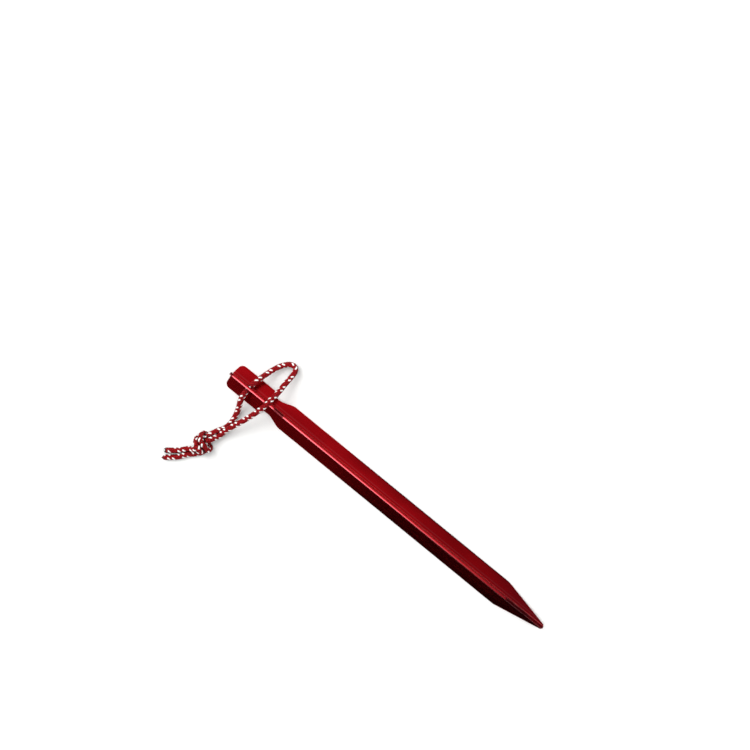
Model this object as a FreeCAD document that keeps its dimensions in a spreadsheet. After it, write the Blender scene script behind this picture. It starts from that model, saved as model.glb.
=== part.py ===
import FreeCAD, Part
import math
import os

import Sketcher
from FreeCAD import Rotation, Vector

# A Y-section tent stake with a pull-cord loop, lying on two of its three fins.
# +X runs from the head to the tip, +Z is up, and the origin is under the middle of the stake, on
# the surface that it lies on. Millimetres.

doc = FreeCAD.newDocument("tent_stake")

# ---------------------------------------------------------------- driving dimensions

sheet = doc.addObject("Spreadsheet::Sheet", "sheet")

DIMENSIONS = [
    # the extruded and punched stake
    ("stakelength", 180.0),
    ("finradius", 6.8),
    ("finthick", 1.3),
    ("rootround", 0.5),
    ("edgebreak", 0.2),
    ("cornerround", 2.4),
    ("headlength", 20.4),
    ("shoulderround", 0.25),
    ("neckradius", 4.4),
    ("neckcorner", 0.5),
    ("neckend", 25.0),
    ("rampend", 31.0),
    ("rampround", 5.0),
    ("kneestation", 157.2),
    ("kneeround", 6.0),
    ("tipradius", 1.1),
    ("tipround", 0.5),
    # the hole for the cord, in the upright fin
    ("holestation", 10.7),
    ("holeheight", 4.2),
    ("holesize", 3.4),
    ("holechamfer", 0.25),
    # the cord
    ("cordsize", 2.3),
    ("sealedlength", 1.3),
    ("sealedround", 0.8),
    # the knot
    ("knotheight", 6.0),
    ("knotround", 1.4),
]

for row, (alias, value) in enumerate(DIMENSIONS, start=1):
    sheet.set(f"A{row}", alias)
    sheet.set(f"B{row}", str(value))
    sheet.setAlias(f"B{row}", alias)
doc.recompute()


def size(alias):
    """A driving dimension's value."""
    return float(getattr(sheet, alias))


# The two lower fins reach 30 degrees below the level, and the rounded edges at their ends touch z = 0.
FIN_COUNT = 3
LOWER_FIN_SLOPE = math.radians(30)
AXIS_HEIGHT = (
    size("finradius") * math.sin(LOWER_FIN_SLOPE)
    + size("finthick") / 2 * math.cos(LOWER_FIN_SLOPE)
    - size("edgebreak") * (math.sin(LOWER_FIN_SLOPE) + math.cos(LOWER_FIN_SLOPE) - 1)
)
HEAD_END = -size("stakelength") / 2

# What counts as the same length, as lined up with X, as a sharp edge and as the right volume.
SAME_LENGTH = 0.01
LINED_UP = 0.999
SHARP_TURN = math.radians(20)
HOLE_VOLUME_ERROR = 0.02
TUBE_VOLUME_ERROR = 0.005


# ---------------------------------------------------------------- helpers for sketches and bodies

def new_body(label):
    body = doc.addObject("PartDesign::Body", "Body_" + label)
    body.Label = label
    return body


def origin_feature(body, role):
    return next(f for f in body.Origin.OriginFeatures if f.Role == role)


def new_sketch(body, plane, name):
    sketch = body.newObject("Sketcher::SketchObject", name)
    sketch.AttachmentSupport = [(origin_feature(body, plane), "")]
    sketch.MapMode = "FlatFace"
    return sketch


def bind_constraint(sketch, index, name, alias):
    sketch.renameConstraint(index, name)
    sketch.setExpression("Constraints." + name, "sheet." + alias)


def place_point(sketch, geometry, end, across, up, name):
    """Hold a sketch point at two distances from the sketch's origin: an alias or 0 each way."""
    for kind, alias in (("DistanceX", across), ("DistanceY", up)):
        if alias:
            index = sketch.addConstraint(Sketcher.Constraint(kind, -1, 1, geometry, end, size(alias)))
            bind_constraint(sketch, index, name + kind[-1], alias)
        else:
            # a point on the sketch's own axis: -1 is the horizontal one and -2 the vertical one
            axis = -2 if kind == "DistanceX" else -1
            sketch.addConstraint(Sketcher.Constraint("PointOnObject", geometry, end, axis))


def draw_outline(sketch, corners):
    """A closed outline of straight lines through corners, each sharp or rounded.

    A corner is (name, across, up, radius), each of the last three an alias or 0.
    """
    count = len(corners)
    spots = [Vector(size(x) if x else 0, size(y) if y else 0, 0) for _, x, y, _ in corners]
    starts = []
    ends = []
    arcs = []
    for i, (_, _, _, radius) in enumerate(corners):
        here = spots[i]
        back = (spots[i - 1] - here).normalize()
        ahead = (spots[(i + 1) % count] - here).normalize()
        if not radius:
            starts.append(here)
            ends.append(here)
            arcs.append(None)
            continue
        half_angle = back.getAngle(ahead) / 2
        reach = size(radius) / math.tan(half_angle)
        middle_way = (back + ahead).normalize()
        centre = here + middle_way * (size(radius) / math.sin(half_angle))
        ends.append(here + back * reach)
        starts.append(here + ahead * reach)
        arcs.append(Part.Arc(here + back * reach, centre - middle_way * size(radius), here + ahead * reach))
    lines = [
        sketch.addGeometry(Part.LineSegment(starts[i], ends[(i + 1) % count])) for i in range(count)
    ]
    for i, (name, across, up, radius) in enumerate(corners):
        before, after = lines[i - 1], lines[i]
        if not radius:
            sketch.addConstraint(Sketcher.Constraint("Coincident", before, 2, after, 1))
            place_point(sketch, after, 1, across, up, name)
            continue
        corner = sketch.addGeometry(Part.Point(spots[i]), True)
        sketch.addConstraint(Sketcher.Constraint("PointOnObject", corner, 1, before))
        sketch.addConstraint(Sketcher.Constraint("PointOnObject", corner, 1, after))
        place_point(sketch, corner, 1, across, up, name)
        arc = sketch.addGeometry(arcs[i])
        ends_of_arc = [sketch.getPoint(arc, 1), sketch.getPoint(arc, 2)]
        first = 1 if (ends_of_arc[0] - ends[i]).Length < (ends_of_arc[1] - ends[i]).Length else 2
        sketch.addConstraint(Sketcher.Constraint("Tangent", before, 2, arc, first))
        sketch.addConstraint(Sketcher.Constraint("Tangent", after, 1, arc, 3 - first))
        index = sketch.addConstraint(Sketcher.Constraint("Radius", arc, size(radius)))
        bind_constraint(sketch, index, name + "Round", radius)


def edge_names(shape, wanted):
    """The names of a shape's edges for which wanted(edge) is true."""
    return [f"Edge{i}" for i, edge in enumerate(shape.Edges, start=1) if wanted(edge)]


# ---------------------------------------------------------------- the stake

def distance_from_axis(point):
    return math.hypot(point.y, point.z)


def along_axis(edge):
    first, last = edge.Vertexes[0].Point, edge.Vertexes[-1].Point
    return abs((last - first).normalize().x) > LINED_UP


def is_sharp(shape, edge):
    """True for an edge whose two faces meet at an outward corner."""
    faces = shape.ancestorsOfType(edge, Part.Face)
    if len(faces) != 2:
        return False
    middle = edge.valueAt((edge.FirstParameter + edge.LastParameter) / 2)
    normals = [face.normalAt(*face.Surface.parameter(middle)) for face in faces]
    return normals[0].getAngle(normals[1]) > SHARP_TURN


def make_stake():
    body = new_body("stake")

    # One fin is a punched plate; three of them meet on the X axis.
    outline = new_sketch(body, "XZ_Plane", "fin_outline")
    draw_outline(outline, [
        ("headAxis", 0, 0, 0),
        ("headCorner", 0, "finradius", "cornerround"),
        ("shoulderTop", "headlength", "finradius", "shoulderround"),
        ("shoulderFoot", "headlength", "neckradius", "neckcorner"),
        ("neckEnd", "neckend", "neckradius", "rampround"),
        ("rampEnd", "rampend", "finradius", "rampround"),
        ("knee", "kneestation", "finradius", "kneeround"),
        ("tipCorner", "stakelength", "tipradius", "tipround"),
        ("tipAxis", "stakelength", 0, 0),
    ])
    fin = body.newObject("PartDesign::Pad", "fin")
    fin.Profile = outline
    fin.setExpression("Length", "sheet.finthick")
    fin.SideType = "Symmetric"
    doc.recompute()

    fins = body.newObject("PartDesign::PolarPattern", "fins")
    fins.Originals = [fin]
    fins.Axis = (origin_feature(body, "X_Axis"), [""])
    fins.Angle = 360
    fins.Occurrences = FIN_COUNT
    body.Tip = fins
    doc.recompute()

    # The extrusion die leaves a round in each valley between two fins.
    valley = size("finthick") / 2 / math.sin(math.pi / FIN_COUNT)
    roots = body.newObject("PartDesign::Fillet", "roots")
    roots.Base = (fins, edge_names(
        fins.Shape,
        lambda e: along_axis(e) and abs(distance_from_axis(e.CenterOfMass) - valley) < SAME_LENGTH,
    ))
    roots.setExpression("Radius", "sheet.rootround")
    body.Tip = roots
    doc.recompute()

    # Every sharp edge is broken, as on a tumbled and anodised part.
    edges = body.newObject("PartDesign::Fillet", "edges")
    edges.Base = (roots, edge_names(roots.Shape, lambda e: is_sharp(roots.Shape, e)))
    edges.setExpression("Radius", "sheet.edgebreak")
    body.Tip = edges
    doc.recompute()

    # The cord's hole goes through the upright fin only.
    circle = new_sketch(body, "XZ_Plane", "hole_outline")
    hole_centre = Vector(size("holestation"), size("holeheight"), 0)
    ring = circle.addGeometry(Part.Circle(hole_centre, Vector(0, 0, 1), size("holesize") / 2))
    place_point(circle, ring, 3, "holestation", "holeheight", "hole")
    index = circle.addConstraint(Sketcher.Constraint("Diameter", ring, size("holesize")))
    bind_constraint(circle, index, "holeSize", "holesize")
    hole = body.newObject("PartDesign::Pocket", "hole")
    hole.Profile = circle
    hole.SideType = "Symmetric"
    hole.setExpression("Length", "2 * sheet.finthick")
    body.Tip = hole
    doc.recompute()
    drilled = edges.Shape.Volume - hole.Shape.Volume
    expected = math.pi / 4 * size("holesize") ** 2 * size("finthick")
    if abs(drilled / expected - 1) > HOLE_VOLUME_ERROR:
        raise RuntimeError("the cord's hole doesn't go through the upright fin once")

    rims = body.newObject("PartDesign::Chamfer", "hole_rims")
    rims.Base = (hole, edge_names(
        hole.Shape,
        lambda e: e.Closed and abs(e.Length - math.pi * size("holesize")) < SAME_LENGTH,
    ))
    rims.setExpression("Size", "sheet.holechamfer")
    body.Tip = rims
    body.Placement = FreeCAD.Placement(Vector(HEAD_END, 0, AXIS_HEIGHT), Rotation())
    doc.recompute()
    return body


# ---------------------------------------------------------------- the cord's route

# One cord goes through the hole and both its sides run to an overhand knot tied in the pair of them.
# Each side starts in the middle of the hole.
HOLE = Vector(HEAD_END + size("holestation"), 0, AXIS_HEIGHT + size("holeheight"))

# The knot's own frame: +X is the way that the cord goes through it, level, and +Z is up.
KNOT_CENTRE = Vector(-80.0, -32.1, 0)
KNOT_HEADING = 219.1
KNOT_TURN = Rotation(Vector(0, 0, 1), KNOT_HEADING)
KNOT_BOTTOM = 0.05

# The flat ends of the knot, where the pair of cords goes in and comes out, and their headings in its frame.
ENTRY = Vector(-3.2, -2.9, 0)
ENTRY_HEADING = 32.0
ENTRY_HEIGHT = 2.2
LEAVE = Vector(4.2, 3.4, 0)
LEAVE_HEADING = 7.0
LEAVE_HEIGHT = 1.25
PAIR_SPACING = 2.4

# The knot's outline seen from above: how far each flat end reaches beyond the middle of the pair, and the
# corners between the two ends, on its left and on its right.
END_HALF_WIDTH = PAIR_SPACING / 2 + size("cordsize") / 2 + 0.35
LEFT_CORNERS = [Vector(-3.4, 4.0, 0), Vector(0.4, 5.7, 0)]
RIGHT_CORNERS = [Vector(3.4, -3.4, 0), Vector(1.0, -5.7, 0)]


def in_knot(point, height=0.0):
    """A point of the knot's frame in the part's frame."""
    return KNOT_CENTRE + KNOT_TURN.multVec(point) + Vector(0, 0, height)


def heading(degrees):
    """A level direction of the knot's frame in the part's frame."""
    turn = Rotation(Vector(0, 0, 1), KNOT_HEADING + degrees)
    return turn.multVec(Vector(1, 0, 0))


def beside(degrees, side):
    """The step from the middle of the pair to one of its cords; side is 1 or -1."""
    return heading(degrees + 90) * (side * PAIR_SPACING / 2)


LONG_ENTRY = in_knot(ENTRY, ENTRY_HEIGHT) + beside(ENTRY_HEADING, 1)
SHORT_ENTRY = in_knot(ENTRY, ENTRY_HEIGHT) + beside(ENTRY_HEADING, -1)
OUTER_LEAVE = in_knot(LEAVE, LEAVE_HEIGHT) + beside(LEAVE_HEADING, 1)
INNER_LEAVE = in_knot(LEAVE, LEAVE_HEIGHT) + beside(LEAVE_HEADING, -1)
LAST_RUN = 3.2

# Out of the hole to the right, round on the ground, back over the neck's notch in the upright fin.
LONG_SIDE = [
    HOLE,
    Vector(-79.1, 2.7, HOLE.z),
    Vector(-78.6, 6.6, 6.7),
    Vector(-78.1, 9.9, 4.0),
    Vector(-77.3, 13.0, 2.1),
    Vector(-76.4, 16.2, 1.25),
    Vector(-74.6, 19.4, 1.2),
    Vector(-71.8, 21.2, 1.25),
    Vector(-68.9, 20.6, 1.4),
    Vector(-67.4, 17.8, 2.3),
    Vector(-67.8, 14.4, 4.4),
    Vector(-68.7, 10.6, 7.4),
    Vector(-68.5, 6.2, 10.8),
    Vector(-68.4, 2.2, 12.5),
    Vector(-68.7, -2.0, 12.5),
    Vector(-69.6, -5.8, 10.9),
    Vector(-70.9, -9.7, 7.6),
    Vector(-72.5, -13.8, 4.3),
    Vector(-74.4, -18.0, 1.9),
    Vector(-76.0, -21.9, 1.5),
    LONG_ENTRY - heading(ENTRY_HEADING) * LAST_RUN,
    LONG_ENTRY,
]

# Out of the hole to the left and down to the knot.
SHORT_SIDE = [
    HOLE,
    Vector(-79.5, -2.7, HOLE.z),
    Vector(-79.3, -6.5, 6.7),
    Vector(-77.9, -10.2, 4.0),
    Vector(-77.1, -14.2, 1.8),
    Vector(-77.3, -18.3, 1.25),
    Vector(-78.6, -21.6, 1.6),
    SHORT_ENTRY - heading(ENTRY_HEADING) * LAST_RUN,
    SHORT_ENTRY,
]

# The two ends of the cord, on the ground.
OUTER_TAIL = [
    OUTER_LEAVE,
    OUTER_LEAVE + heading(LEAVE_HEADING) * LAST_RUN,
    Vector(-85.2, -44.1, 1.25),
    Vector(-88.0, -46.6, 1.25),
    Vector(-89.9, -48.6, 1.25),
]
INNER_TAIL = [
    INNER_LEAVE,
    INNER_LEAVE + heading(LEAVE_HEADING) * LAST_RUN,
    Vector(-86.9, -41.7, 1.25),
    Vector(-89.3, -43.6, 1.25),
    Vector(-91.0, -44.9, 1.25),
]


# The share of the shorter run beside a point that the arc there takes up.
ARC_SHARE = 0.45


def rounded_path(name, points):
    """Straight runs joined by tangent arcs, each as large as its two runs allow, as one wire."""
    edges = []
    start = points[0]
    tightest = math.inf
    for before, here, after in zip(points, points[1:], points[2:]):
        back = before - here
        ahead = after - here
        run = ahead.Length
        reach = ARC_SHARE * min(back.Length, run)
        turn = math.pi - back.getAngle(ahead)
        radius = reach / math.tan(turn / 2)
        arc_start = here + back.normalize() * reach
        arc_end = here + ahead.normalize() * reach
        centre = here + (back + ahead).normalize() * (radius / math.cos(turn / 2))
        arc_middle = centre + (here - centre).normalize() * radius
        edges.append(Part.LineSegment(start, arc_start).toShape())
        edges.append(Part.Arc(arc_start, arc_middle, arc_end).toShape())
        start = arc_end
        tightest = min(tightest, radius)
        print(f"{name}: radius {radius:.1f} mm, turn {math.degrees(turn):.0f}, run {run:.1f}")
    edges.append(Part.LineSegment(start, points[-1]).toShape())
    wire = Part.Wire(edges)
    print(f"{name}: length {wire.Length:.1f} mm, tightest radius {tightest:.1f} mm")
    return wire


def make_tube(label, points):
    """A plain round tube along one stretch of the cord."""
    spine = doc.addObject("Part::Feature", label + "_route")
    spine.Shape = rounded_path(label, points)
    section = doc.addObject("Part::Circle", label + "_section")
    section.setExpression("Radius", "sheet.cordsize / 2")
    along = Rotation(Vector(0, 0, 1), points[1] - points[0])
    section.Placement = FreeCAD.Placement(points[0], along)
    doc.recompute()
    tube = doc.addObject("Part::Sweep", label)
    tube.Label = label
    tube.Sections = [section]
    tube.Spine = (spine, [f"Edge{i}" for i in range(1, len(spine.Shape.Edges) + 1)])
    tube.Solid = True
    tube.Frenet = False
    doc.recompute()
    expected = math.pi / 4 * size("cordsize") ** 2 * spine.Shape.Length
    if abs(tube.Shape.Volume / expected - 1) > TUBE_VOLUME_ERROR:
        raise RuntimeError(f"{label} has {tube.Shape.Volume:.1f} mm3 and should have {expected:.1f}")
    return tube


# ---------------------------------------------------------------- the knot and the sealed ends

def make_knot():
    """The outer shape of the knot, as a plain block with rounded edges."""
    body = new_body("cord_knot")
    outline = new_sketch(body, "XY_Plane", "knot_outline")
    end_half = Vector(0, END_HALF_WIDTH, 0)
    entry_left = Rotation(Vector(0, 0, 1), ENTRY_HEADING).multVec(end_half)
    leave_left = Rotation(Vector(0, 0, 1), LEAVE_HEADING).multVec(end_half)
    corners = [ENTRY - entry_left, ENTRY + entry_left]
    corners += LEFT_CORNERS
    corners += [LEAVE + leave_left, LEAVE - leave_left]
    corners += RIGHT_CORNERS
    for i, corner in enumerate(corners):
        outline.addGeometry(Part.LineSegment(corner, corners[(i + 1) % len(corners)]))
    for i in range(len(corners)):
        outline.addConstraint(Sketcher.Constraint("Coincident", i, 2, (i + 1) % len(corners), 1))
        outline.addConstraint(Sketcher.Constraint("Block", i))
    block = body.newObject("PartDesign::Pad", "block")
    block.Profile = outline
    block.setExpression("Length", "sheet.knotheight")
    doc.recompute()
    top = block.Shape.BoundBox.ZMax
    crown = body.newObject("PartDesign::Fillet", "crown")
    crown.Base = (block, edge_names(block.Shape, lambda e: abs(e.CenterOfMass.z - top) < SAME_LENGTH))
    crown.setExpression("Radius", "sheet.knotround")
    body.Tip = crown
    body.Placement = FreeCAD.Placement(in_knot(Vector(), KNOT_BOTTOM), KNOT_TURN)
    doc.recompute()
    return body


def make_sealed_end(label, tail):
    """The melted bead that closes a cut end of the cord."""
    body = new_body(label)
    circle = new_sketch(body, "XY_Plane", "bead_outline")
    ring = circle.addGeometry(Part.Circle(Vector(), Vector(0, 0, 1), size("cordsize") / 2))
    circle.addConstraint(Sketcher.Constraint("Coincident", ring, 3, -1, 1))
    index = circle.addConstraint(Sketcher.Constraint("Diameter", ring, size("cordsize")))
    bind_constraint(circle, index, "beadSize", "cordsize")
    bead = body.newObject("PartDesign::Pad", "bead")
    bead.Profile = circle
    bead.setExpression("Length", "sheet.sealedlength")
    doc.recompute()
    nose = body.newObject("PartDesign::Fillet", "nose")
    nose.Base = (bead, edge_names(
        bead.Shape,
        lambda e: e.Closed and abs(e.CenterOfMass.z - size("sealedlength")) < SAME_LENGTH,
    ))
    nose.setExpression("Radius", "sheet.sealedround")
    body.Tip = nose
    body.Placement = FreeCAD.Placement(tail[-1], Rotation(Vector(0, 0, 1), tail[-1] - tail[-2]))
    doc.recompute()
    return body


# ---------------------------------------------------------------- build, check and write

nodes = [
    make_stake(),
    make_tube("cord_long_side", LONG_SIDE),
    make_tube("cord_short_side", SHORT_SIDE),
    make_knot(),
    make_tube("cord_outer_tail", OUTER_TAIL),
    make_tube("cord_inner_tail", INNER_TAIL),
    make_sealed_end("outer_sealed_end", OUTER_TAIL),
    make_sealed_end("inner_sealed_end", INNER_TAIL),
]

doc.recompute()
for item in doc.Objects:
    if set(item.State) & {"Invalid", "Error"}:
        raise RuntimeError(f"{item.Label} failed: {item.State}")
for node in nodes:
    if node.Shape.isNull() or not node.Shape.isValid() or len(node.Shape.Solids) != 1:
        raise RuntimeError(f"{node.Label} isn't one valid solid")

os.makedirs("parts", exist_ok=True)
for node in nodes:
    node.Shape.exportStep(f"parts/{node.Label}.step")
    print(f"{node.Label}: {node.Shape.Volume:.1f} mm3, {node.Shape.optimalBoundingBox(False)}")
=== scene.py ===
import math

import bpy
import numpy as np
from mathutils import Matrix, Vector


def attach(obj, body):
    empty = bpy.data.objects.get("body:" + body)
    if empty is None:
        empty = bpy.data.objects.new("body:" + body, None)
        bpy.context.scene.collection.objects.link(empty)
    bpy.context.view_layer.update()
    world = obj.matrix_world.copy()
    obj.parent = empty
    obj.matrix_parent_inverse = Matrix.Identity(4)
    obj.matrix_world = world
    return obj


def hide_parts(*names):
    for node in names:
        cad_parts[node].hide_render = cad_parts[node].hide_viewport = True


# A Y-section tent stake with a braided pull cord, lying on a pale studio floor. Metres throughout, in the
# frame of the CAD model: +X from the head to the tip, +Z up, the knot on the -Y side, the floor at z = 0.

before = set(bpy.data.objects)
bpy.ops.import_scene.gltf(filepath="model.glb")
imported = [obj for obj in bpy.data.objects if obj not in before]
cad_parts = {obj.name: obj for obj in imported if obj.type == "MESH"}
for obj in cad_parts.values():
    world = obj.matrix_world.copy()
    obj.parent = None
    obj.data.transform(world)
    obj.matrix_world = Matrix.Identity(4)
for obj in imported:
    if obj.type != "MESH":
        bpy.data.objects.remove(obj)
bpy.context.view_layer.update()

CORD = 0.0023


# ---------------------------------------------------------------- small helpers

def new_object(name, data):
    piece = bpy.data.objects.new(name, data)
    bpy.context.scene.collection.objects.link(piece)
    return piece


def unit(v):
    return v / np.linalg.norm(v, axis=-1, keepdims=True)


def steps_along(points):
    """The distance along a line of points at each of its points."""
    runs = np.linalg.norm(np.diff(points, axis=0), axis=1)
    return np.concatenate([[0.0], np.cumsum(runs)])


def smooth(share):
    """A share from 0 to 1 that starts and ends slowly."""
    return share * share * (3 - 2 * share)


def at_distances(points, distances):
    """The points at these distances along a line of points."""
    along = steps_along(points)
    return np.stack([np.interp(distances, along, points[:, k]) for k in range(3)], axis=1)


# ---------------------------------------------------------------- camera

CAMERA_PLACE = Vector((-0.03686, 0.01774, 0.26017))
CAMERA_AHEAD = Vector((-0.0108, 0.0883, -0.9960))
CAMERA_UP = Vector((-0.6315, 0.7717, 0.0752))


def make_camera():
    data = bpy.data.cameras.new("camera")
    data.lens = 27.0
    data.sensor_width = 36.0
    data.clip_start = 0.01
    camera = new_object("camera", data)
    back = -CAMERA_AHEAD.normalized()
    right = CAMERA_UP.cross(back).normalized()
    up = back.cross(right)
    turn = Matrix((right, up, back)).transposed().to_4x4()
    camera.matrix_world = Matrix.Translation(CAMERA_PLACE) @ turn
    bpy.context.scene.camera = camera


make_camera()

# ---------------------------------------------------------------- the cord's route

# the middle of the hole in the upright fin
HOLE = Vector((-0.0793, 0.0, 0.00809))

# the knot's own frame has its X along the way that the cord takes through the knot
KNOT_CENTRE = Vector((-0.0800, -0.0321, 0.0))
KNOT_TURN = Matrix.Rotation(math.radians(219.1), 3, "Z")
# where the pair of cords comes in and goes out, in the knot's frame, and in which direction
ENTRY = Vector((-0.0034, -0.0029, 0.0022))
ENTRY_HEADING = math.radians(26)
LEAVE = Vector((0.0042, 0.0034, 0.00125))
LEAVE_HEADING = math.radians(7)
PAIR_SPACING = 0.0024
LAST_RUN = 0.0032


def of_pair(place, heading, side, ahead=0.0):
    """A point of one cord of the pair, in the knot's frame: side is 1 or -1, ahead is along the heading."""
    along = Vector((math.cos(heading), math.sin(heading), 0))
    across = Vector((-along.y, along.x, 0))
    return place + across * (side * PAIR_SPACING / 2) + along * ahead


def from_knot(point):
    """A point of the knot's frame in the model's frame."""
    return KNOT_CENTRE + KNOT_TURN @ Vector(point)


# the cord's route from the hole's middle: one side goes over the far side of the fins and back across the
# notch, and the other straight to the knot
LONG_SIDE = [
    HOLE,
    Vector((-0.0791, 0.0027, HOLE.z)),
    Vector((-0.0785, 0.0065, 0.0062)),
    Vector((-0.0779, 0.0096, 0.0044)),
    Vector((-0.0772, 0.0125, 0.0032)),
    Vector((-0.0762, 0.0153, 0.0027)),
    Vector((-0.0746, 0.0179, 0.0025)),
    Vector((-0.0727, 0.0199, 0.0025)),
    Vector((-0.0703, 0.0205, 0.0027)),
    Vector((-0.0688, 0.0190, 0.0030)),
    Vector((-0.0685, 0.0166, 0.0034)),
    Vector((-0.0685, 0.0136, 0.0042)),
    Vector((-0.0684, 0.0102, 0.0056)),
    Vector((-0.0680, 0.0064, 0.0077)),
    Vector((-0.0682, 0.0022, 0.0097)),
    Vector((-0.0686, -0.0020, 0.0097)),
    Vector((-0.0696, -0.0058, 0.0089)),
    Vector((-0.0709, -0.0097, 0.0077)),
    Vector((-0.0725, -0.0138, 0.0064)),
    Vector((-0.0743, -0.0176, 0.0052)),
    Vector((-0.0758, -0.0214, 0.0040)),
    from_knot(of_pair(ENTRY, ENTRY_HEADING, 1, -LAST_RUN)),
]
SHORT_SIDE = [
    HOLE,
    Vector((-0.0795, -0.0027, HOLE.z)),
    Vector((-0.0791, -0.0065, 0.0062)),
    Vector((-0.0778, -0.0100, 0.0034)),
    Vector((-0.0770, -0.0137, 0.0015)),
    Vector((-0.0764, -0.0174, 0.00125)),
    Vector((-0.0769, -0.0210, 0.0015)),
    from_knot(of_pair(ENTRY, ENTRY_HEADING, -1, -LAST_RUN)),
]
OUTER_TAIL = [
    from_knot(of_pair(LEAVE, LEAVE_HEADING, 1, LAST_RUN)),
    Vector((-0.0850, -0.0442, 0.00125)),
    Vector((-0.0878, -0.0465, 0.00125)),
    Vector((-0.0896, -0.0480, 0.00125)),
]
INNER_TAIL = [
    from_knot(of_pair(LEAVE, LEAVE_HEADING, -1, LAST_RUN)),
    Vector((-0.0868, -0.0419, 0.00125)),
    Vector((-0.0892, -0.0438, 0.00125)),
    Vector((-0.0909, -0.0451, 0.00125)),
]


# ---------------------------------------------------------------- the knot

KNOT_NODES = 60
KNOT_STEPS = 900
KNOT_ROLL = math.radians(45)
KNOT_LENGTH = 0.034
KNOT_MIDDLE = np.array([0.0002, -0.0013, 0.0028])
KNOT_PULL = np.array([0.05, 0.01, 0.02])
# two cords pressed together in the knot are a little nearer than their thickness
KNOT_CONTACT = 0.0022
LOOSE_SPACING = 0.003
LOOSE_HEIGHT = 0.012
LOOSE_REACH = 2.12
LOOSE_SCALE = 4.2
# points at each end of a strand that the pull and the easing leave alone or reach only in part
FREE_ENDS = 8
# the ends have come home after this share of the steps
DRAWN_AT = 0.7
# the middle is pulled together once this share of that time has passed
PULL_FROM = 0.6
# each step straightens a strand by this share, and lets it sink by this much
STRAIGHTEN = 0.25
SINK = 0.000012
# each step is followed by rounds that restore the lengths, the pair's spacing and the gaps
ROUNDS = 6
PAIR_PULL = 0.05
PAIR_SLACK = 1.06
PUSH = 0.3
PUSH_GAIN = 1.6
# the drawn-up knot is let out a little and moved toward the tails
KNOT_EASE = 1.12
KNOT_SHIFT = np.array([0.0008, 0.0001, 0.0])


def evenly(points, count):
    return at_distances(points, np.linspace(0, steps_along(points)[-1], count))


def loose_knot():
    """The middle line of a loosely tied overhand knot along X, about 30 mm long and as much across."""
    t = np.linspace(-LOOSE_REACH, LOOSE_REACH, 6 * KNOT_NODES)
    along = 0.75 * (t**5 - 10 * t)
    across = LOOSE_SCALE * (t**4 - 4 * t**2 + 2)
    up = -LOOSE_SCALE * (t**3 - 3 * t)
    line = evenly(np.stack([along, across, up], axis=1), KNOT_NODES) / 1000
    c, s = math.cos(KNOT_ROLL), math.sin(KNOT_ROLL)
    return line @ np.array([[1, 0, 0], [0, c, s], [0, -s, c]])


def side_vectors(line, first, last=None):
    """Unit vectors square to a line at its points, carried along without twist or turned to end at last."""
    heading = unit(np.gradient(line, axis=0))
    sides = []
    side = np.array(first, float)
    for ahead in heading:
        side = unit(side - (side @ ahead) * ahead)
        sides.append(side)
    sides = np.array(sides)
    if last is not None:
        ahead = heading[-1]
        wanted = unit(np.array(last, float) - (np.array(last) @ ahead) * ahead)
        twist = math.atan2(np.cross(sides[-1], wanted) @ ahead, sides[-1] @ wanted)
        angle = np.linspace(0, twist, len(line))[:, None]
        sides = sides * np.cos(angle) + np.cross(heading, sides) * np.sin(angle)
    return sides


def keep_length(strand, rest):
    """Move a strand's points until each is nearer to the right distance from the next one."""
    for odd in (0, 1):
        a = np.arange(odd, len(strand) - 1, 2)
        run = strand[a + 1] - strand[a]
        length = np.linalg.norm(run, axis=1)[:, None]
        shift = 0.5 * (length - rest) / length * run
        strand[a] += shift
        strand[a + 1] -= shift


def push_apart(p, first, second):
    """Move points that are nearer together than the cord allows."""
    gap = p[second] - p[first]
    near = (gap * gap).sum(axis=1) < KNOT_CONTACT**2
    gap = gap[near]
    length = np.linalg.norm(gap, axis=1)[:, None]
    push = PUSH * (KNOT_CONTACT - length) / length * gap
    moved = np.zeros_like(p)
    pushes = np.zeros(len(p))
    for points, way in ((first[near], -push), (second[near], push)):
        np.add.at(moved, points, way)
        np.add.at(pushes, points, 1)
    p += PUSH_GAIN * moved / np.maximum(pushes, 1)[:, None]


def pairs_kept_apart(count, tight_step):
    """The pairs of points that are pushed apart when near: any two but those close by on one strand."""
    along = int(np.ceil(1.5 * CORD / tight_step))
    first, second = np.triu_indices(2 * count, 1)
    checked = (first // count != second // count) | (second - first > along)
    return first[checked], second[checked]


def held_ends(count, tight_step):
    """The numbers of the points at the strands' ends and the places that they are drawn to."""
    held = []
    goals = []
    for start, side in ((0, 1), (count, -1)):
        held += [start, start + 1, start + count - 2, start + count - 1]
        for run in (-LAST_RUN, tight_step - LAST_RUN):
            goals.append(of_pair(ENTRY, ENTRY_HEADING, side, run))
        for run in (LAST_RUN - tight_step, LAST_RUN):
            goals.append(of_pair(LEAVE, LEAVE_HEADING, -side, run))
    return held, np.array(goals)


def keep_pair(strands):
    """Draw two strands together where they are further apart than a cord and a little slack."""
    between = strands[1] - strands[0]
    length = np.linalg.norm(between, axis=1)[:, None]
    between *= PAIR_PULL * np.maximum(length - PAIR_SLACK * CORD, 0) / length
    strands[0][:] += between
    strands[1][:] -= between


def let_out(p, count):
    """Let the knot out a little and move it toward the tails, while the strands' ends stay in place."""
    eased = KNOT_SHIFT + (KNOT_EASE - 1) * (p - KNOT_MIDDLE * [1, 1, 0] - [0, 0, CORD / 2])
    into_knot = np.minimum(np.arange(count), np.arange(count)[::-1]) / FREE_ENDS
    p += eased * smooth(np.tile(np.clip(into_knot, 0, 1), 2)[:, None])


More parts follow.
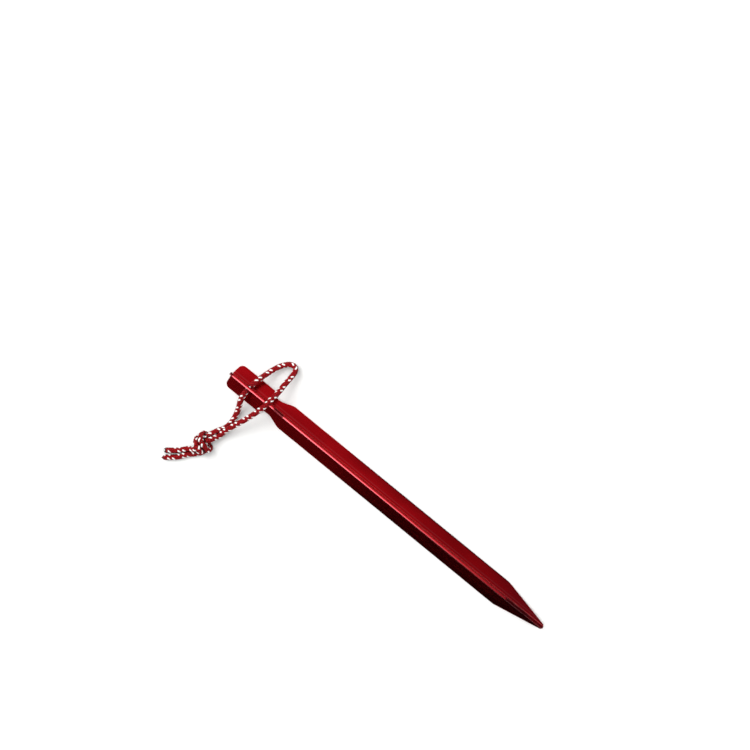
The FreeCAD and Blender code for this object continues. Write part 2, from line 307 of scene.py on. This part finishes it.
def tie_knot():
    """The pair of cords drawn up from a loose overhand knot into a tight one: a list of points for each."""
    line = loose_knot()
    side = side_vectors(line, (0, 1, 0), (0, -1, 0)) * LOOSE_SPACING / 2
    p = np.concatenate([line + side, line - side])
    p[:, 2] += LOOSE_HEIGHT
    count = len(line)
    strands = (p[:count], p[count:])
    loose_step = steps_along(line)[-1] / (count - 1)
    tight_step = KNOT_LENGTH / (count - 1)
    first, second = pairs_kept_apart(count, tight_step)
    held, goals = held_ends(count, tight_step)
    starts = p[held]

    for step in range(KNOT_STEPS):
        time = min(1.0, step / (DRAWN_AT * KNOT_STEPS))
        share = smooth(time)
        rest = loose_step + (tight_step - loose_step) * share
        late = max(0.0, (time - PULL_FROM) / (1 - PULL_FROM))
        p[:, 2] -= SINK * share
        for strand in strands:
            strand[1:-1] += STRAIGHTEN * ((strand[:-2] + strand[2:]) / 2 - strand[1:-1])
            middle = strand[FREE_ENDS:-FREE_ENDS]
            middle += KNOT_PULL * late * (KNOT_MIDDLE - middle)
        for _ in range(ROUNDS):
            for strand in strands:
                keep_length(strand, rest)
            keep_pair(strands)
            push_apart(p, first, second)
            p[:, 2] = np.maximum(p[:, 2], CORD / 2)
            p[held] = starts + (goals - starts) * share
    let_out(p, count)
    return [[from_knot(q) for q in strand[1:-1]] for strand in strands]


# ---------------------------------------------------------------- the braided cord

CARRIERS = 12
PITCH = 0.0064
YARN_WIDTH = 0.00084
YARN_THICK = 0.00042
BRAID_RADIUS = 0.00095
BRAID_WAVE = 0.00014
# how quickly a yarn dives from over the others to under them
DIVE = 1.6
YARN_STEPS = 10
WHITE_CARRIERS = (0, 2)
CORE_RADIUS = 0.00084
CORE_SIDES = 8
# the yarn's section: across and out, in halves of its width and thickness
YARN_SECTION = [(-1.0, -0.35), (-0.72, 0.62), (0.0, 1.0), (0.72, 0.62), (1.0, -0.35), (0.0, -0.9)]
# distances from the cord's middle line at which a yarn is in full shade and in full light
SHADE_RADIUS = 0.00106
LIGHT_RADIUS = 0.00131


def route_curve(name, points):
    """The cord's own line: a smooth curve with the route's points as its control points."""
    curve = bpy.data.curves.new(name + "_route", "CURVE")
    curve.dimensions = "3D"
    spline = curve.splines.new("NURBS")
    spline.points.add(len(points) - 1)
    for spot, point in zip(spline.points, points):
        spot.co = (*point, 1.0)
    spline.order_u = 3
    spline.use_endpoint_u = True
    spline.resolution_u = 12
    return curve


def points_of(curve):
    """The points that Blender gives along a curve."""
    route = new_object(curve.name, curve)
    depsgraph = bpy.context.evaluated_depsgraph_get()
    mesh = bpy.data.meshes.new_from_object(route.evaluated_get(depsgraph))
    points = np.array([v.co for v in mesh.vertices], float)
    bpy.data.objects.remove(route)
    bpy.data.meshes.remove(mesh)
    return points


def faces_between_rings(rows, sides, first=0):
    """The four-sided faces of a tube whose rings of vertices are numbered from first."""
    faces = []
    for row in range(rows - 1):
        for k in range(sides):
            a = first + row * sides + k
            b = first + row * sides + (k + 1) % sides
            faces.append((a, b, b + sides, a + sides))
    return faces


class TubeMesh:
    """Tubes gathered into one mesh, with each face's material and the distance along the tube as UV."""

    def __init__(self):
        self.vertices = []
        self.count = 0
        self.faces = []
        self.materials = []
        self.uvs = []
        self.lifts = []

    def add(self, centres, outs, acrosses, section, material, lifts=None):
        """A tube of a section given as points (across, out), one ring at each centre."""
        across = np.array([s[0] for s in section])[None, :, None]
        out = np.array([s[1] for s in section])[None, :, None]
        rings = centres[:, None] + acrosses[:, None] * across + outs[:, None] * out
        along = steps_along(centres) * 1000
        rows, sides = rings.shape[:2]
        walls = faces_between_rings(rows, sides, self.count)
        self.faces.extend(walls)
        self.materials.extend([material] * len(walls))
        for low, high in zip(along[:-1], along[1:]):
            for k in range(sides):
                left, right = k / sides, (k + 1) / sides
                self.uvs.extend([(left, low), (right, low), (right, high), (left, high)])
        for row in (0, rows - 1):
            cap = [self.count + row * sides + k for k in range(sides)]
            self.faces.append(tuple(cap if row else reversed(cap)))
            self.materials.append(material)
            self.uvs.extend([(0.5, along[row])] * sides)
        self.vertices.append(rings.reshape(-1, 3))
        self.lifts.append(np.ones(rows * sides) if lifts is None else lifts(rings).ravel())
        self.count += rows * sides

    def make(self, name, materials):
        mesh = bpy.data.meshes.new(name)
        mesh.from_pydata(np.concatenate(self.vertices).tolist(), [], self.faces)
        for material in materials:
            mesh.materials.append(material)
        mesh.polygons.foreach_set("material_index", self.materials)
        layer = mesh.uv_layers.new(name="along_tube")
        layer.data.foreach_set("uv", np.array(self.uvs, np.float32).ravel())
        lift = mesh.attributes.new("lift", "FLOAT", "POINT")
        lift.data.foreach_set("value", np.concatenate(self.lifts).astype(np.float32))
        mesh.shade_smooth()
        mesh.update()
        return new_object(name, mesh)


def braid(name, line, turns, materials):
    """A round braid of yarns, each over two and under two, round a core that is painted dark as the shade
    between them.
    """
    length = steps_along(line)[-1]
    step = PITCH * 2 / CARRIERS / YARN_STEPS
    z = np.linspace(0, length, int(round(length / step)) + 1)
    centre = at_distances(line, z)
    ahead = unit(np.gradient(centre, axis=0))
    side = side_vectors(centre, (0.0, 0.0, 1.0))
    other = np.cross(ahead, side)
    turn = np.radians(np.interp(z / length, [t[0] for t in turns], [t[1] for t in turns]))

    def lifts(rings):
        radius = np.linalg.norm(rings - centre[:, None], axis=2)
        return np.clip((radius - SHADE_RADIUS) / (LIGHT_RADIUS - SHADE_RADIUS), 0, 1)

    tubes = TubeMesh()
    crossing = CARRIERS * z / PITCH
    half = CARRIERS // 2
    section = [(a * YARN_WIDTH / 2, o * YARN_THICK / 2) for a, o in YARN_SECTION]
    for hand in (1, -1):
        for carrier in range(half):
            angle = hand * 2 * math.pi * z / PITCH + 2 * math.pi * carrier / half
            # the yarn's place in its round of four crossings, over two others and under two
            phase = crossing + 2 * carrier - 0.5 if hand == 1 else -crossing + 2 * carrier - 2.5
            wave = np.tanh(DIVE * np.cos(phase * math.pi / 2)) / math.tanh(DIVE)
            angle = angle + turn
            out = side * np.cos(angle)[:, None] + other * np.sin(angle)[:, None]
            spots = centre + out * (BRAID_RADIUS + BRAID_WAVE * wave)[:, None]
            along = unit(np.gradient(spots, axis=0))
            across = unit(np.cross(along, out))
            material = 1 if hand == 1 and carrier in WHITE_CARRIERS else 0
            tubes.add(spots, np.cross(across, along), across, section, material, lifts)
    core = []
    for k in range(CORE_SIDES):
        angle = 2 * math.pi * k / CORE_SIDES
        core.append((CORE_RADIUS * math.cos(angle), CORE_RADIUS * math.sin(angle)))
    tubes.add(centre, side, other, core, 2, lifts)
    return tubes.make(name, materials)


TIP_SIDES = 20
WHITE_SIDES = range(3, 8)
# a tip goes on in the heading of this many last points of its cord's line
TIP_HEADING = 8


def melted_tip(name, line, profile, lean, materials):
    """A cord's end melted by a hot cut: rings from the profile's distances and radii past the line's end."""
    ahead = unit(line[-1] - line[-TIP_HEADING])
    side = unit(np.cross(ahead, (0.0, 0.0, 1.0)))
    up = np.cross(side, ahead)
    rings = []
    for k, (distance, radius) in enumerate(profile):
        middle = line[-1] + ahead * distance + side * lean * distance**2
        ring = []
        for n in range(TIP_SIDES):
            angle = 2 * math.pi * n / TIP_SIDES
            rough = 1 + 0.06 * math.sin(3 * angle + 1.3 * k) + 0.05 * math.sin(5 * angle - 2.1 * k)
            offset = (side * math.cos(angle) + up * math.sin(angle)) * radius * rough
            ring.append(middle + offset)
        rings.append(ring)
    vertices = [tuple(point) for ring in rings for point in ring]
    faces = faces_between_rings(len(rings), TIP_SIDES)
    faces.append(tuple(reversed(range(TIP_SIDES))))
    faces.append(tuple(range(len(vertices) - TIP_SIDES, len(vertices))))
    mesh = bpy.data.meshes.new(name)
    mesh.from_pydata(vertices, [], faces)
    for material in materials:
        mesh.materials.append(material)
    if len(materials) > 1:
        # the white yarns run out on one side of the tip
        for face in mesh.polygons:
            row, n = divmod(face.index, TIP_SIDES)
            face.material_index = 1 if n in WHITE_SIDES and row > 1 else 0
    mesh.shade_smooth()
    return new_object(name, mesh)


# ---------------------------------------------------------------- materials

# the results of a change that comes in over a span, and of one that goes out
COMES_IN = (0.0, 1.0)
GOES_OUT = (1.0, 0.0)
# most of a noise texture's values lie in this range
NOISE_SPAN = (0.3, 0.7)


class Graph:
    """The nodes and links of a material or of the world."""

    def __init__(self, tree):
        self.nodes = tree.nodes
        self.links = tree.links

    def add(self, kind, **settings):
        node = self.nodes.new(kind)
        for name, value in settings.items():
            setattr(node, name, value)
        return node

    def feed(self, socket, value):
        """Give a socket a number, a colour or the output of another node."""
        if isinstance(value, tuple):
            socket.default_value = (*value, 1)
        elif isinstance(value, (int, float)):
            socket.default_value = value
        else:
            self.links.new(value, socket)

    def coordinates(self, kind):
        return self.add("ShaderNodeTexCoord").outputs[kind]

    def axes(self, vector):
        """The X, Y and Z of a vector."""
        node = self.add("ShaderNodeSeparateXYZ")
        self.feed(node.inputs[0], vector)
        return [node.outputs[name] for name in "XYZ"]

    def remap(self, value, span, results):
        """A value mapped from a span to a range of results, smoothly at both ends."""
        node = self.add("ShaderNodeMapRange", interpolation_type="SMOOTHSTEP")
        for name, number in zip(("From Min", "From Max", "To Min", "To Max"), (*span, *results)):
            self.feed(node.inputs[name], number)
        self.feed(node.inputs["Value"], value)
        return node.outputs["Result"]

    def calculate(self, operation, first, second=None):
        """One step of arithmetic on node outputs or numbers."""
        node = self.add("ShaderNodeMath", operation=operation)
        self.feed(node.inputs[0], first)
        if second is not None:
            self.feed(node.inputs[1], second)
        return node.outputs[0]

    def multiply(self, first, second):
        return self.calculate("MULTIPLY", first, second)

    def distance(self, value, middle):
        """How far a value is from a middle value."""
        return self.calculate("ABSOLUTE", self.calculate("SUBTRACT", value, middle))

    def blend(self, share, first, second):
        """Two colours mixed; each may be a node output or three numbers."""
        node = self.add("ShaderNodeMix", data_type="RGBA")
        self.feed(node.inputs["Factor"], share)
        self.feed(node.inputs[6], first)
        self.feed(node.inputs[7], second)
        return node.outputs[2]

    def noise(self, place, scale, detail=3.0):
        """Noise with its own scale along each axis."""
        stretch = self.add("ShaderNodeMapping")
        stretch.inputs["Scale"].default_value = scale
        self.feed(stretch.inputs["Vector"], place)
        texture = self.add("ShaderNodeTexNoise")
        self.feed(texture.inputs["Scale"], 1.0)
        self.feed(texture.inputs["Detail"], detail)
        self.feed(texture.inputs["Vector"], stretch.outputs["Vector"])
        return texture.outputs[0]

    def bump(self, shader, height, strength, distance):
        node = self.add("ShaderNodeBump")
        self.feed(node.inputs["Strength"], strength)
        self.feed(node.inputs["Distance"], distance)
        self.feed(node.inputs["Height"], height)
        self.feed(shader.inputs["Normal"], node.outputs["Normal"])


def new_material(name, color, roughness, metallic=0.0):
    material = bpy.data.materials.new(name)
    material.use_nodes = True
    graph = Graph(material.node_tree)
    shader = graph.nodes["Principled BSDF"]
    graph.feed(shader.inputs["Base Color"], color)
    graph.feed(shader.inputs["Roughness"], roughness)
    graph.feed(shader.inputs["Metallic"], metallic)
    return material, graph, shader


RED = (0.60, 0.0045, 0.0095)
DARK_RED = (0.46, 0.0030, 0.0070)
# the next four colours are painted light: a pink highlight, and shade for edges, corners and the tip
HIGHLIGHT_PINK = (0.72, 0.110, 0.135)
EDGE_SHADE = (0.17, 0.0015, 0.0030)
CORNER_SHADE = (0.06, 0.0020, 0.0100)
TIP_SHADE = (0.14, 0.0060, 0.0140)
# Y of the painted pink highlight line on the upright fin's edge and of the faint painted highlight line on
# the +Y fin, and half of their widths
PINK_HIGHLIGHT_LINE = -0.00040
PINK_HIGHLIGHT_HALF = 0.00028
SIDE_HIGHLIGHT_LINE = 0.0017
SIDE_HIGHLIGHT_LINE_HALF = 0.00035
# changes of the colour with place: each has a span and its results at the span's two ends
# over Z of the direction in which a face looks, and over Z, which only the upright fin reaches
LEVEL = ((0.12, 0.30), COMES_IN)
UPRIGHT_FIN = ((0.0070, 0.0076), COMES_IN)
# over X: the head's end, the shaft past the ramps, the tip, and how the painted highlight line fades
HEAD_END = ((-0.0896, -0.0889), GOES_OUT)
SHAFT = ((-0.040, 0.0), COMES_IN)
TIP = ((0.045, 0.090), (0.0, 0.55))
PINK_HIGHLIGHT_FADE = ((-0.055, 0.065), (1.0, 0.08))
# over the distance from the middle plane or from a line's middle
FIN_SIDE = ((0.0020, 0.0058), (0.0, 0.32))
FIN_END = ((0.0056, 0.0060), (0.0, 0.9))
PINK_HIGHLIGHT = ((0.7 * PINK_HIGHLIGHT_HALF, 1.3 * PINK_HIGHLIGHT_HALF), GOES_OUT)
FROM_SIDE_HIGHLIGHT = ((0.0, SIDE_HIGHLIGHT_LINE_HALF), (0.22, 0.0))


def shade_and_highlight_top_edge(graph, dye_and_painted_light, x, y, top_edge):
    """The top edge gets painted shade but for a painted pink highlight line near its -Y side, which fades
    toward the tip.
    """
    dye_and_painted_light = graph.blend(top_edge, dye_and_painted_light, EDGE_SHADE)
    line = graph.multiply(top_edge, graph.remap(graph.distance(y, PINK_HIGHLIGHT_LINE), *PINK_HIGHLIGHT))
    return graph.blend(graph.multiply(line, graph.remap(x, *PINK_HIGHLIGHT_FADE)), dye_and_painted_light, HIGHLIGHT_PINK)


def shade_lower_fin_edges(graph, dye_and_painted_light, x, y):
    """Away from the head, the lower fins get painted shade toward their edges, and much darker painted shade
    right at them.
    """
    outward = graph.calculate("ABSOLUTE", y)
    shaft = graph.remap(x, *SHAFT)
    for change, color in ((FIN_SIDE, EDGE_SHADE), (FIN_END, CORNER_SHADE)):
        dye_and_painted_light = graph.blend(graph.multiply(graph.remap(outward, *change), shaft), dye_and_painted_light, color)
    return dye_and_painted_light


def shade_tip_and_head_end(graph, dye_and_painted_light, x, upright_fin):
    """The tip gets painted shade, and so does the sheared corner of the upright fin."""
    dye_and_painted_light = graph.blend(graph.remap(x, *TIP), dye_and_painted_light, TIP_SHADE)
    return graph.blend(graph.multiply(upright_fin, graph.remap(x, *HEAD_END)), dye_and_painted_light, CORNER_SHADE)


def make_aluminium():
    """Red anodised aluminium, dyed in clouds: streaks from the extrusion die, fine grain, and painted shade
    and painted highlights on the edges and ends.
    """
    material, graph, shader = new_material("red_anodised", RED, 0.26, 1.0)
    place = graph.coordinates("Object")
    x, y, z = graph.axes(place)
    facing = graph.axes(graph.add("ShaderNodeNewGeometry").outputs["True Normal"])
    upright_fin = graph.remap(z, *UPRIGHT_FIN)
    top_edge = graph.multiply(upright_fin, graph.remap(facing[2], *LEVEL))

    clouds = graph.noise(place, (45, 90, 90), 2.0)
    dye_and_painted_light = graph.blend(graph.remap(clouds, NOISE_SPAN, COMES_IN), RED, DARK_RED)
    # painted shade and painted highlights go onto the dyed colour
    dye_and_painted_light = shade_and_highlight_top_edge(graph, dye_and_painted_light, x, y, top_edge)
    dye_and_painted_light = shade_lower_fin_edges(graph, dye_and_painted_light, x, y)
    dye_and_painted_light = shade_tip_and_head_end(graph, dye_and_painted_light, x, upright_fin)
    # a faint painted highlight line along the +Y fin
    side_highlight_line = graph.remap(graph.distance(y, SIDE_HIGHLIGHT_LINE), *FROM_SIDE_HIGHLIGHT)
    graph.feed(shader.inputs["Base Color"], graph.blend(side_highlight_line, dye_and_painted_light, HIGHLIGHT_PINK))

    streaks = graph.noise(place, (14, 800, 800))
    grain = graph.noise(place, (2600, 2600, 2600), 2.0)
    drawn = graph.remap(streaks, NOISE_SPAN, (0.23, 0.28))
    pitted = graph.remap(grain, NOISE_SPAN, (-0.01, 0.01))
    graph.feed(shader.inputs["Roughness"], graph.calculate("ADD", drawn, pitted))
    relief = graph.calculate("ADD", streaks, graph.multiply(grain, 0.1))
    graph.bump(shader, relief, strength=0.08, distance=0.000006)
    graph.feed(shader.inputs["Coat Weight"], 0.05)
    graph.feed(shader.inputs["Coat Roughness"], 0.15)
    return material


# how near another yarn or the floor has to be for a crease to get painted shade
CREASE_REACH = 0.0026


def make_yarn(name, color, shade, roughness, gloss, crease_shade):
    """Yarn of fine filaments, with painted shade where it dives under the others."""
    material, graph, shader = new_material(name, color, roughness)
    uv = graph.add("ShaderNodeUVMap", uv_map="along_tube").outputs["UV"]
    filaments = graph.noise(uv, (38, 1.6, 1), 2.0)
    patches = graph.noise(uv, (3, 0.7, 1), 1.0)
    lift = graph.add("ShaderNodeAttribute", attribute_name="lift").outputs["Fac"]
    fine = graph.remap(filaments, (0.3, 0.65), (0.72, 1.0))
    coarse = graph.remap(patches, NOISE_SPAN, (0.85, 1.0))
    # painted shade: the yarn takes its shade colour where it lies deep in the braid
    lifted = graph.remap(lift, (0.0, 1.0), COMES_IN)
    yarn = graph.blend(graph.multiply(graph.multiply(lifted, fine), coarse), shade, color)
    # painted shade: the cord darkens where its strands press on each other or on the ground
    occlusion = graph.add("ShaderNodeAmbientOcclusion", samples=8)
    graph.feed(occlusion.inputs["Distance"], CREASE_REACH)
    crease = graph.remap(occlusion.outputs["AO"], (0.35, 0.95), (crease_shade, 0.0))
    graph.feed(shader.inputs["Base Color"], graph.blend(crease, yarn, shade))
    graph.bump(shader, filaments, strength=0.6, distance=0.00004)
    graph.feed(shader.inputs["Specular IOR Level"], gloss)
    return material


def make_melted(name, color, roughness):
    """Yarn melted to a hard, lumpy bead."""
    material, graph, shader = new_material(name, color, roughness)
    lumps = graph.noise(graph.coordinates("Object"), (1600, 1600, 1600), 4.0)
    burnt = tuple(c * 0.35 for c in color)
    share = graph.remap(lumps, (0.35, 0.65), COMES_IN)
    graph.feed(shader.inputs["Base Color"], graph.blend(share, burnt, color))
    graph.bump(shader, lumps, strength=0.7, distance=0.0001)
    return material


red_aluminium = make_aluminium()
red_yarn = make_yarn(
    "red_yarn", color=(0.38, 0.0045, 0.0085), shade=(0.008, 0.0002, 0.0003),
    roughness=0.62, gloss=0.13, crease_shade=0.95,
)
white_yarn = make_yarn(
    "white_yarn", color=(0.97, 0.97, 0.95), shade=(0.72, 0.60, 0.58),
    roughness=0.40, gloss=0.5, crease_shade=0.50,
)
# the core is painted nearly black as the shade seen between the yarns
shaded_core = make_yarn(
    "shaded_core", color=(0.03, 0.001, 0.002), shade=(0.02, 0.0005, 0.001),
    roughness=0.7, gloss=0.1, crease_shade=0.0,
)
melted_red = make_melted("melted_red", (0.16, 0.004, 0.008), 0.35)
melted_dark = make_melted("melted_dark", (0.030, 0.004, 0.005), 0.35)
melted_white = make_melted("melted_white", (0.80, 0.78, 0.75), 0.35)

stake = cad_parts["stake"]
stake.data.materials.clear()
stake.data.materials.append(red_aluminium)

# ---------------------------------------------------------------- cords

# profiles of the melted ends: distance past the braid's end and radius
BLUNT_TIP = [
    (-0.0006, 0.00112), (-0.0001, 0.00122), (0.0004, 0.00116),
    (0.0009, 0.00092), (0.0012, 0.00058), (0.0013, 0.00020),
]
POINTED_TIP = [
    (-0.0008, 0.00112), (-0.0002, 0.00116), (0.0002, 0.00098),
    (0.0006, 0.00070), (0.0010, 0.00040), (0.0013, 0.00012),
]

long_knot, short_knot = tie_knot()
# each half of the cord: its name, the CAD pieces that it stands for, its route, the angles in degrees by
# which its braid is turned at shares of its length, and its tip: name, CAD piece, profile, lean, materials
HALVES = [
    {
        "name": "cord_long_half",
        "stands_for": ("cord_long_side", "cord_knot", "cord_inner_tail"),
        "route": LONG_SIDE + long_knot + INNER_TAIL,
        "turns": [(0, -25), (0.15, -25), (0.4, -95), (1, -95)],
        "tip": ("inner_tip", "inner_sealed_end", BLUNT_TIP, 60.0, (melted_dark, melted_white)),
    },
    {
        "name": "cord_short_half",
        "stands_for": ("cord_short_side", "cord_outer_tail"),
        "route": SHORT_SIDE + short_knot + OUTER_TAIL,
        "turns": [(0, 10), (0.80, 10), (0.95, 70), (1, 70)],
        "tip": ("outer_tip", "outer_sealed_end", POINTED_TIP, -90.0, (melted_red,)),
    },
]
for half in HALVES:
    line = points_of(route_curve(half["name"], half["route"]))
    cord = braid(half["name"], line, half["turns"], (red_yarn, white_yarn, shaded_core))
    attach(cord, "root")
    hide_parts(*half["stands_for"])
    tip_name, tip_node, profile, lean, tip_materials = half["tip"]
    tip = melted_tip(tip_name, line, profile, lean, tip_materials)
    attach(tip, "root")
    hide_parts(tip_node)

# ---------------------------------------------------------------- floor, lights and world

FLOOR_HALF = 4.0


def make_floor():
    """A smooth pale sheet with a faint unevenness."""
    corners = [(x * FLOOR_HALF, y * FLOOR_HALF, 0) for x, y in ((-1, -1), (1, -1), (1, 1), (-1, 1))]
    mesh = bpy.data.meshes.new("floor")
    mesh.from_pydata(corners, [], [(0, 1, 2, 3)])
    material, graph, shader = new_material("pale_sheet", (0.77, 0.78, 0.77), 0.65)
    fibres = graph.noise(graph.coordinates("Object"), (900, 900, 900))
    graph.feed(shader.inputs["Roughness"], graph.remap(fibres, NOISE_SPAN, (0.6, 0.72)))
    graph.feed(shader.inputs["Specular IOR Level"], 0.2)
    mesh.materials.append(material)
    floor = new_object("floor", mesh)


def make_light(name, place, target, width, height, power):
    data = bpy.data.lights.new(name, "AREA")
    data.shape = "RECTANGLE"
    data.size = width
    data.size_y = height
    data.energy = power
    light = new_object(name, data)
    light.location = place
    light.rotation_euler = (Vector(target) - Vector(place)).to_track_quat("-Z", "Y").to_euler()


def make_sun(name, place, angle, strength):
    data = bpy.data.lights.new(name, "SUN")
    data.angle = math.radians(angle)
    data.energy = strength
    light = new_object(name, data)
    light.rotation_euler = (-Vector(place)).to_track_quat("-Z", "Y").to_euler()
    light.visible_glossy = False


# the room's brightness over Y and over X of the direction, and what a glow adds round its own direction
ACROSS = ((-0.75, 0.45), (0.022, 0.52))
ALONG = ((-0.35, 0.50), (1.25, 0.58))
GLOW = ((0.80, 1.0), (0.0, 0.21))
GLOW_DIRECTION = (-0.45, -0.75, 0.48)
BACKDROP = (0.86, 0.865, 0.86)


def make_world():
    """A room that is brighter on the +Y side and toward the head's end, with a glow beside the -Y fin."""
    world = bpy.data.worlds.new("studio")
    bpy.context.scene.world = world
    world.use_nodes = True
    graph = Graph(world.node_tree)
    direction = graph.coordinates("Generated")
    x, y, _ = graph.axes(direction)
    toward_glow = graph.add("ShaderNodeVectorMath", operation="DOT_PRODUCT")
    toward_glow.inputs[1].default_value = GLOW_DIRECTION
    graph.feed(toward_glow.inputs[0], direction)
    glow = graph.remap(toward_glow.outputs["Value"], *GLOW)
    plain = graph.multiply(graph.remap(y, *ACROSS), graph.remap(x, *ALONG))
    room = graph.nodes["Background"]
    graph.feed(room.inputs["Color"], (1, 1, 1))
    graph.feed(room.inputs["Strength"], graph.calculate("ADD", plain, glow))
    # straight views past the floor's edge show the tone of the far floor
    backdrop = graph.add("ShaderNodeBackground")
    graph.feed(backdrop.inputs["Color"], BACKDROP)
    mix = graph.add("ShaderNodeMixShader")
    graph.feed(mix.inputs[0], graph.add("ShaderNodeLightPath").outputs["Is Camera Ray"])
    graph.feed(mix.inputs[1], room.outputs[0])
    graph.feed(mix.inputs[2], backdrop.outputs[0])
    graph.feed(graph.nodes["World Output"].inputs["Surface"], mix.outputs[0])


make_floor()
# the overhead light's reflection runs along the top edge of the upright fin
make_light("overhead", (-0.05, -0.05, 0.80), (-0.05, -0.05, 0), width=0.85, height=0.26, power=2.45)
# the key light stands at the head's end and throws the shadows toward the tip; the metal mirrors neither sun
make_sun("key", (-0.80, -0.03, 1.0), angle=36, strength=1.70)
make_sun("fill", (0, 0, 1), angle=110, strength=1.40)
make_world()
bpy.context.scene.view_settings.view_transform = "Standard"
